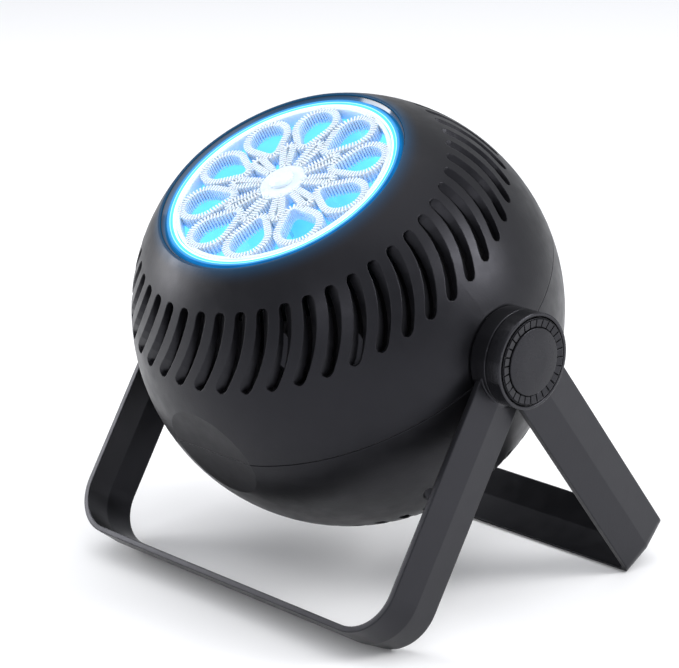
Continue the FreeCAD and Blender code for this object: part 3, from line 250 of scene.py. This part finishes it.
# ---------------------------------------------------------------------------------------------
# Screws, shafts and studs: zinc-plated steel, turned and slightly dulled.
# ---------------------------------------------------------------------------------------------


def plated(name, colour, rough, line=0.0004):
    """Plated metal with fine turning marks."""
    material, tree, shader, coordinates = finish(name)
    marks = add(tree, "ShaderNodeTexNoise", {"Vector": coordinates, "Scale": 1 / line, "Detail": 2.0})
    cloud = add(tree, "ShaderNodeTexNoise", {"Vector": coordinates, "Scale": 260.0, "Detail": 3.0})
    soft = add(tree, "ShaderNodeBevel", {"Radius": 0.0002}, samples=4)
    bump = add(tree, "ShaderNodeBump", {
        "Height": marks.outputs["Fac"], "Normal": soft.outputs["Normal"], "Distance": 0.00001, "Strength": 0.5})
    feed(tree, shader, {
        "Base Color": tone(colour), "Metallic": 1.0,
        "Roughness": stray(tree, cloud, rough - 0.07, rough + 0.07), "Normal": bump.outputs["Normal"]})
    return material


zinc = plated("zinc_plated_steel_turned", "C4C6C8", 0.30)
dress(zinc, "shell_screws", "chassis_screws", "wheel_shaft", "pivot_studs")

# ---------------------------------------------------------------------------------------------
# Bezel ring: smoked polycarbonate, polished, nearly black, with a painted blue glow where it meets
# the guide, an emission that stands in for the guide's light.
# ---------------------------------------------------------------------------------------------
smoked, tree, shader, coordinates = finish("smoked_polycarbonate_polished")
# Painted glow: emission rising towards the guide stands in for the guide's light in the smoked ring.
bezel_painted_bright_r, bezel_painted_dark_r, bezel_painted_glow = 0.0452, 0.0469, 0.85
sheen = add(tree, "ShaderNodeTexNoise", {"Vector": coordinates, "Scale": 90.0, "Detail": 2.0})
soft = add(tree, "ShaderNodeBevel", {"Radius": 0.0004}, samples=6)
painted_bezel_light = add(tree, "ShaderNodeMapRange", {
    "Value": head_radius(tree, coordinates), "From Min": bezel_painted_dark_r, "From Max": bezel_painted_bright_r})
feed(tree, shader, {
    "Base Color": tone("0A1626"), "IOR": 1.58, "Roughness": stray(tree, sheen, 0.08, 0.16),
    "Normal": soft.outputs["Normal"], "Emission Color": tone("156EA8"),
    "Emission Strength": times(tree, painted_bezel_light.outputs["Result"], bezel_painted_glow)})
dress(smoked, "bezel_ring")

# ---------------------------------------------------------------------------------------------
# Light guide: frosted acrylic lit from its skirt, white-hot along its inner edge and blue outside.
# The board under it carries the light-emitting diodes.
# ---------------------------------------------------------------------------------------------
acrylic, tree, shader, coordinates = finish("frosted_acrylic_lit")
guide_in_r, guide_out_r = 0.0419, 0.0449
radius = add(tree, "ShaderNodeMapRange", {
    "Value": head_radius(tree, coordinates), "From Min": guide_in_r, "From Max": guide_out_r})
colours = add(tree, "ShaderNodeValToRGB", {"Fac": radius.outputs["Result"]})
stops = colours.color_ramp.elements
stops[0].position, stops[0].color = 0.0, tone("C8FAFF")
stops[1].position, stops[1].color = 1.0, tone("0C5C94")
for position, code in ((0.14, "DFFCFF"), (0.24, "45B4EC"), (0.50, "2C9CDC"), (0.57, "A4E8FF"), (0.64, "1E86C4")):
    stop = stops.new(position)
    stop.color = tone(code)
strip = add(tree, "ShaderNodeTexNoise", {"Vector": coordinates, "Scale": 120.0, "Detail": 1.0})
feed(tree, shader, {
    "Base Color": colours.outputs["Color"], "Roughness": 0.35, "IOR": 1.49,
    "Emission Color": colours.outputs["Color"], "Emission Strength": stray(tree, strip, 0.75, 1.15)})
dress(acrylic, "light_guide")

board, tree, shader, coordinates = finish("green_solder_mask_on_glass_epoxy")
tracks = add(tree, "ShaderNodeTexBrick", {
    "Vector": coordinates, "Scale": 260.0, "Mortar Size": 0.012, "Color1": tone("0F4A26"),
    "Color2": tone("14582E"), "Mortar": tone("2E8A50")})
raised = add(tree, "ShaderNodeBump", {"Height": tracks.outputs["Fac"], "Distance": 0.00003, "Strength": 0.5})
feed(tree, shader, {
    "Base Color": tracks.outputs["Color"], "Roughness": 0.28, "Normal": raised.outputs["Normal"]})
dress(board, "led_board", "main_board")

dome, tree, shader, coordinates = finish("clear_epoxy_diode_lit")
speck = add(tree, "ShaderNodeTexVoronoi", {"Vector": coordinates, "Scale": 900.0})
warmth = blend(tree, speck.outputs["Distance"], tone("E8FBFF"), tone("6CC8FF"))
feed(tree, shader, {
    "Base Color": warmth, "Roughness": 0.2, "Emission Color": warmth, "Emission Strength": 2.0})
dress(dome, "leds")

# ---------------------------------------------------------------------------------------------
# Wand wheel: moulded white ABS.  Ten egg-shaped wands and ten narrow loops have ribbed walls that
# hold the liquid film, and a rim and a hub tie them together.
# ---------------------------------------------------------------------------------------------
white_abs = moulded("white_abs_moulded", "CFDFED", "E3EEF7", 0.32, 0.0008, 0.00002, 0.0002)
tree, shader, coordinates = parts_of(white_abs)
feed(tree, shader, {"Subsurface Weight": 0.25, "Subsurface Radius": (0.6, 0.9, 1.0), "Subsurface Scale": 0.002})

wheel_low, wheel_top, wand_count = 0.0580, 0.0630, 10
wall, rib_across, rib_along, rib_pitch, rib_proud = 0.0011, 0.0027, 0.00062, 0.00125, 0.0010


def egg_points(big_at, big_r, small_at, small_r, count=64):
    """Outline of two circles on the X axis with their outer tangents."""
    lean = math.acos((big_r - small_r) / (big_at - small_at))
    limit = math.pi - lean
    points = []
    for step in range(count // 2 + 1):
        turn = -limit + 2 * limit * step / (count // 2)
        points.append((big_at + big_r * math.cos(turn), big_r * math.sin(turn), 0))
    for step in range(count // 4 + 1):
        turn = limit + 2 * lean * step / (count // 4)
        points.append((small_at + small_r * math.cos(turn), small_r * math.sin(turn), 0))
    return points


def geometry_tree(name, sizes, count_name):
    """Empty Geometry Nodes tree with named sizes and a count as its inputs."""
    tree = bpy.data.node_groups.new(name, "GeometryNodeTree")
    tree.interface.new_socket("Geometry", in_out="INPUT", socket_type="NodeSocketGeometry")
    for size in sizes:
        tree.interface.new_socket(size, in_out="INPUT", socket_type="NodeSocketFloat")
    tree.interface.new_socket(count_name, in_out="INPUT", socket_type="NodeSocketInt")
    tree.interface.new_socket("Geometry", in_out="OUTPUT", socket_type="NodeSocketGeometry")
    return tree, tree.nodes.new("NodeGroupInput").outputs


def copies_round(tree, piece, count, material):
    """End a tree with copies of its piece turned round the Z axis, made real, in one material."""
    points = add(tree, "GeometryNodePoints", {"Count": count})
    index = add(tree, "GeometryNodeInputIndex")
    step = add(tree, "ShaderNodeMath", {0: 2 * math.pi, 1: count}, operation="DIVIDE")
    angle = times(tree, index.outputs["Index"], step.outputs["Value"])
    spin = add(tree, "ShaderNodeCombineXYZ", {"Z": angle})
    copies = add(tree, "GeometryNodeInstanceOnPoints", {
        "Points": points.outputs["Points"], "Instance": piece, "Rotation": spin.outputs["Vector"]})
    solid = add(tree, "GeometryNodeRealizeInstances", {"Geometry": copies.outputs["Instances"]})
    skin = add(tree, "GeometryNodeSetMaterial", {"Geometry": solid.outputs["Geometry"], "Material": material})
    add(tree, "NodeGroupOutput", {"Geometry": skin.outputs["Geometry"]})
    return tree


def ribbed_tree():
    """Geometry Nodes: a wall along each outline, ribs across it, and copies round the hub."""
    tree, given = geometry_tree(
        "ribbed_wands", ("Wall", "Depth", "Rib pitch", "Rib across", "Rib along", "Rib proud"), "Wands")
    curve = add(tree, "GeometryNodeMeshToCurve", {"Mesh": given["Geometry"]})
    level = add(tree, "GeometryNodeSetCurveNormal", {"Curve": curve.outputs["Curve"]}, mode="Z_UP")
    profile = add(tree, "GeometryNodeCurvePrimitiveQuadrilateral", {
        "Width": given["Wall"], "Height": given["Depth"]})
    walls = add(tree, "GeometryNodeCurveToMesh", {
        "Curve": level.outputs["Curve"], "Profile Curve": profile.outputs["Curve"], "Fill Caps": False})
    spots = add(tree, "GeometryNodeResampleCurve", {
        "Curve": curve.outputs["Curve"], "Length": given["Rib pitch"]}, mode="LENGTH")
    proud = add(tree, "ShaderNodeMath", {0: given["Depth"], 1: given["Rib proud"]})
    size = add(tree, "ShaderNodeCombineXYZ", {
        "X": given["Rib along"], "Y": given["Rib across"], "Z": proud.outputs["Value"]})
    rib = add(tree, "GeometryNodeMeshCube", {"Size": size.outputs["Vector"]})
    along = add(tree, "GeometryNodeInputTangent")
    turn = add(
        tree, "FunctionNodeAlignRotationToVector", {"Vector": along.outputs["Tangent"]}, axis="X", pivot_axis="Z")
    ribs = add(tree, "GeometryNodeInstanceOnPoints", {
        "Points": spots.outputs["Curve"], "Instance": rib.outputs["Mesh"], "Rotation": turn.outputs["Rotation"]})
    one = add(tree, "GeometryNodeJoinGeometry")
    tree.links.new(walls.outputs["Mesh"], one.inputs["Geometry"])
    tree.links.new(ribs.outputs["Instances"], one.inputs["Geometry"])
    return copies_round(tree, one.outputs["Geometry"], given["Wands"], white_abs)


def baked(name, source, tree, settings, place):
    """Plain mesh of a Geometry Nodes tree's result, moved to its place."""
    modifier = source.modifiers.new("rule", "NODES")
    modifier.node_group = tree
    for socket in tree.interface.items_tree:
        if socket.in_out == "INPUT" and socket.name in settings:
            modifier[socket.identifier] = settings[socket.name]
    bpy.context.view_layer.update()
    mesh = bpy.data.meshes.new_from_object(source.evaluated_get(bpy.context.evaluated_depsgraph_get()))
    source.modifiers.remove(modifier)
    bpy.data.objects.remove(source)
    mesh.name = name
    mesh.transform(place)
    piece = bpy.data.objects.new(name, mesh)
    bpy.context.scene.collection.objects.link(piece)
    return piece


outlines = [
    egg_points(0.0315, 0.0086 - wall / 2, 0.0215, 0.0034 - wall / 2),
    egg_points(0.0195, 0.0025 - wall / 2, 0.0100, 0.0015 - wall * 0.35, 40),
]
vertices, edges = [], []
for number, outline in enumerate(outlines):
    start = len(vertices)
    spin = Matrix.Rotation(math.pi / wand_count * number, 4, "Z")
    vertices += [spin @ Vector(point) for point in outline]
    edges += [(start + i, start + (i + 1) % len(outline)) for i in range(len(outline))]
outline_mesh = bpy.data.meshes.new("wand_outlines")
outline_mesh.from_pydata(vertices, edges, [])
outline_object = bpy.data.objects.new("wand_outlines", outline_mesh)
bpy.context.scene.collection.objects.link(outline_object)
middle = Matrix.Translation((0, 0, (wheel_low + wheel_top) / 2))
wands = baked("ribbed_wands", outline_object, ribbed_tree(), {
    "Wall": wall, "Depth": wheel_top - wheel_low - rib_proud, "Rib pitch": rib_pitch, "Rib proud": rib_proud,
    "Rib across": rib_across, "Rib along": rib_along, "Wands": wand_count}, head @ middle)


def turned_piece(name, section, material, place, steps=160):
    """Ring or knob turned about Z from a closed section of (radius, height) pairs, poles closed."""
    points, faces = [], []
    count = len(section)
    for step in range(steps):
        angle = 2 * math.pi * step / steps
        points += [(r * math.cos(angle), r * math.sin(angle), z) for r, z in section]
    for step in range(steps):
        after = (step + 1) % steps
        for i in range(count):
            j = (i + 1) % count
            faces.append((step * count + i, after * count + i, after * count + j, step * count + j))
    mesh = bpy.data.meshes.new(name)
    mesh.from_pydata(points, [], faces)
    shape = bmesh.new()
    shape.from_mesh(mesh)
    bmesh.ops.remove_doubles(shape, verts=shape.verts[:], dist=1e-7)
    bmesh.ops.recalc_face_normals(shape, faces=shape.faces[:])
    shape.to_mesh(mesh)
    shape.free()
    mesh.transform(place)
    mesh.materials.append(material)
    mesh.shade_smooth()
    piece = bpy.data.objects.new(name, mesh)
    bpy.context.scene.collection.objects.link(piece)
    return piece


def rounded(corners, radius, steps=4):
    """Closed section with each corner rounded, for turning."""
    result = []
    count = len(corners)
    for index in range(count):
        here = Vector(corners[index])
        if here.x == 0:
            result.append((here.x, here.y))
            continue
        before = Vector(corners[index - 1]) - here
        after = (Vector(corners[(index + 1) % count]) - here)
        reach = min(radius, before.length * 0.45, after.length * 0.45)
        first, last = here + before.normalized() * reach, here + after.normalized() * reach
        for step in range(steps + 1):
            share = step / steps
            point = first * (1 - share) ** 2 + here * 2 * share * (1 - share) + last * share ** 2
            result.append((point.x, point.y))
    return result


rim_in_r, rim_out_r, hub_bore_r, hub_top_r, hub_out_r = 0.0399, 0.0414, 0.00204, 0.0082, 0.0090
rim = turned_piece("wheel_rim", rounded([
    (rim_in_r, wheel_low), (rim_out_r, wheel_low), (rim_out_r, wheel_top), (rim_in_r, wheel_top)],
    0.0004), white_abs, head)
hub = turned_piece("wheel_hub", rounded([
    (hub_bore_r, wheel_low), (hub_out_r, wheel_low), (hub_out_r, wheel_top - 0.0006), (hub_top_r, wheel_top),
    (hub_bore_r, wheel_top)], 0.0005), white_abs, head)
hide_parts("wand_wheel")
for piece in (wands, rim, hub):
    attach(piece, "wheel")
dress(white_abs, "wheel_cap", "fan_impeller")

# ---------------------------------------------------------------------------------------------
# Wheel drive: acetal gears on sintered bushes, turned by a small motor through its gearbox.
# ---------------------------------------------------------------------------------------------
acetal = moulded("natural_acetal_moulded", "DAD9D0", "E8E7E0", 0.38, 0.0006, 0.00001, 0.0002)
dress(acetal, "wheel_gear", "drive_pinion")
bronze = plated("sintered_brass_turned", "B08D4A", 0.42)
dress(bronze, "shaft_bushes", "knob_insert_right", "knob_insert_left")
can = plated("nickel_plated_motor_can", "B9BBBE", 0.34)
dress(can, "gear_motor", "fan_motor", "usb_c_inlet")

# ---------------------------------------------------------------------------------------------
# Solution tank: translucent polypropylene with a rubber wiper.  Its bath has a painted blue glow,
# tint and emission standing in for the ring's light; the rest of the tank is painted near-black shade.
# ---------------------------------------------------------------------------------------------
fluid_low, bath_r, bath_painted_glow_r = 0.0355, 0.0423, 0.0420
tank, tree, shader, coordinates = finish("translucent_polypropylene_painted_glow")
cloud = add(tree, "ShaderNodeTexNoise", {"Vector": coordinates, "Scale": 60.0, "Detail": 2.0})
painted_bath_tint = blend(tree, cloud.outputs["Fac"], tone("58BDFA"), tone("8AD6FF"))
reach = head_radius(tree, coordinates)
bath_painted_glow_strength = add(tree, "ShaderNodeMapRange", {
    "Value": reach, "From Min": 0.0, "From Max": bath_painted_glow_r, "To Min": 0.40, "To Max": 0.75})
inside = add(tree, "ShaderNodeMath", {0: reach, 1: bath_r}, operation="LESS_THAN")
painted_glow_vs_shade_mask = times(tree, inside.outputs["Value"], above(tree, head_height(tree, coordinates), fluid_low))
# Painted light: blue tint and emission in the bath stand in for the ring's light; the near-black 10161C on the
# rest of the tank is painted shade.
feed(tree, shader, {
    "Base Color": blend(tree, painted_glow_vs_shade_mask, tone("10161C"), painted_bath_tint), "Roughness": 0.25, "IOR": 1.49,
    "Emission Color": painted_bath_tint, "Emission Strength": times(tree, painted_glow_vs_shade_mask, bath_painted_glow_strength.outputs["Result"])})
dress(tank, "solution_tank")

rubber = moulded("black_silicone_rubber_moulded", "0E0E0F", "161617", 0.72, 0.0007, 0.00004, 0.0002, 0.3)
dress(rubber, "inner_washers", "outer_washers", "front_foot", "rear_foot")
silicone = moulded("clear_silicone_moulded", "9CC9E6", "B4DAF0", 0.45, 0.0008, 0.00002, 0.0002)
dress(silicone, "wiper_blade")

# ---------------------------------------------------------------------------------------------
# Inside: chassis plate, gearbox, fan and duct in plain moulded ABS, two wrapped cells in a tray.
# ---------------------------------------------------------------------------------------------
inner_abs = moulded("dark_abs_moulded_plain", "08080A", "0C0C0E", 0.6, 0.0009, 0.00003, 0.0003)
dress(
    inner_abs, "chassis_plate", "gearbox", "fan_housing", "fan_cover", "air_duct", "battery_tray", "tact_switch")

wrap, tree, shader, coordinates = finish("blue_shrink_wrap")
band_from = 0.0295
along_x = add(tree, "ShaderNodeSeparateXYZ", {"Vector": coordinates}).outputs["X"]
skin = blend(tree, above(tree, along_x, band_from), tone("1F56B8"), tone("D8DADD"))
crease = add(tree, "ShaderNodeTexNoise", {"Vector": coordinates, "Scale": 300.0, "Detail": 2.0})
fold = add(tree, "ShaderNodeBump", {"Height": crease.outputs["Fac"], "Distance": 0.00005, "Strength": 0.4})
feed(tree, shader, {"Base Color": skin, "Roughness": 0.3, "Normal": fold.outputs["Normal"]})
dress(wrap, "battery_cells")

# ---------------------------------------------------------------------------------------------
# Controls at the back: a satin power button, and a small clear light pipe beside the inlet.
# ---------------------------------------------------------------------------------------------
button_abs = moulded("grey_abs_satin", "2C2C30", "34343A", 0.34, 0.0008, 0.00002, 0.0004)
dress(button_abs, "power_button")
lens, tree, shader, coordinates = finish("clear_polycarbonate_light_pipe")
haze = add(tree, "ShaderNodeTexNoise", {"Vector": coordinates, "Scale": 500.0})
gloss = add(tree, "ShaderNodeMapRange", {"Value": haze.outputs["Fac"], "To Min": 0.05, "To Max": 0.2})
feed(tree, shader, {
    "Base Color": tone("D8E4EC"), "Roughness": gloss.outputs["Result"], "Transmission Weight": 0.5, "IOR": 1.58})
dress(lens, "indicator_lens")

# ---------------------------------------------------------------------------------------------
# Pivots and knobs: nylon axles, and satin black knobs, each with a lip round a band of 28 grip pads
# and a plain domed middle.
# ---------------------------------------------------------------------------------------------
nylon = moulded("black_nylon_moulded", "131314", "18181A", 0.5, 0.0008, 0.00002, 0.0003)
dress(nylon, "pivot_axle_right", "pivot_axle_left")
knob_abs = moulded("black_abs_satin", "0B0B0D", "101012", 0.27, 0.0009, 0.00002, 0.0002, 0.24)
knob_low, knob_face = 0.0883, 0.0924
pad_in, pad_out, pads, groove, pad_edge = 0.01235, 0.01505, 28, 0.0004, 0.00012


def ring_tree(count_name, material):
    """Geometry Nodes: copies of a piece turned round the Z axis."""
    tree, given = geometry_tree("copies_round_the_axis", (), count_name)
    return copies_round(tree, given["Geometry"], given[count_name], material)


def grip_pad():
    """One raised pad of the grip band, with bevelled edges."""
    half_pitch = math.pi / pads
    shape = bmesh.new()
    corners = []
    for inner_drop, outer_drop in ((0.0012, 0.0010), (0.00035, 0.00005)):
        for radius, z in ((pad_in, knob_face - inner_drop), (pad_out, knob_face - outer_drop)):
            side = half_pitch - groove / 2 / radius
            for angle in (-side, side):
                corners.append(shape.verts.new((radius * math.cos(angle), radius * math.sin(angle), z)))
    for ids in ((0, 2, 3, 1), (4, 5, 7, 6), (0, 1, 5, 4), (2, 6, 7, 3), (0, 4, 6, 2), (1, 3, 7, 5)):
        shape.faces.new([corners[i] for i in ids])
    bmesh.ops.recalc_face_normals(shape, faces=shape.faces)
    bmesh.ops.bevel(shape, geom=shape.edges[:], offset=pad_edge, segments=2, affect="EDGES", profile=0.5)
    mesh = bpy.data.meshes.new("grip_pad")
    shape.to_mesh(mesh)
    shape.free()
    pad = bpy.data.objects.new("grip_pad", mesh)
    bpy.context.scene.collection.objects.link(pad)
    return pad


bore_r, middle_r, lip_in_r, lip_out_r, bore_top = 0.00505, 0.0120, 0.01515, 0.0154, knob_face - 0.0017
knob_section = rounded([
    (bore_r, knob_low), (lip_out_r, knob_low), (lip_out_r, knob_face - 0.0003), (lip_in_r, knob_face - 0.0003),
    (lip_in_r, knob_face - 0.0010), (middle_r, knob_face - 0.0012), (middle_r, knob_face + 0.0001),
    (middle_r / 2, knob_face + 0.0004), (0, knob_face + 0.00045), (0, bore_top), (bore_r, bore_top)], 0.0003)
for side, turn in (("right", 90), ("left", -90)):
    seat = Matrix.Translation(pivot) @ Matrix.Rotation(math.radians(turn), 4, "Y")
    dial = turned_piece("dial_" + side, knob_section, knob_abs, seat)
    grip = baked("grip_band_" + side, grip_pad(), ring_tree("Pads", knob_abs), {"Pads": pads}, seat)
    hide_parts("knob_" + side)
    for piece in (dial, grip):
        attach(piece, side + "_knob")

# ---------------------------------------------------------------------------------------------
# Stands: two moulded U-shaped bands, satin black, with a shallow ridge, and glossier at their hubs.
# ---------------------------------------------------------------------------------------------
stand_abs = moulded("black_abs_satin_band", "0C0C0E", "111113", 0.33, 0.0010, 0.00003, 0.0008, 0.30)
tree, shader, coordinates = parts_of(stand_abs)
hub_r, hub_edge, hub_fade, hub_gloss = 0.0172, 0.0002, 0.0012, 0.16
from_pivot = add(tree, "ShaderNodeVectorMath", {0: coordinates, 1: pivot}, operation="SUBTRACT")
off_hub = add(tree, "ShaderNodeMapRange", {
    "Value": length_of(tree, from_pivot.outputs["Vector"], (0, 1, 1)),
    "From Min": hub_r + hub_edge, "From Max": hub_r + hub_fade})
satin = shader.inputs["Roughness"].links[0].from_socket
gloss = add(tree, "ShaderNodeMix", {"Factor": off_hub.outputs["Result"], 2: hub_gloss, 3: satin})
feed(tree, shader, {"Roughness": gloss.outputs[0]})
dress(stand_abs, "front_stand", "rear_stand")
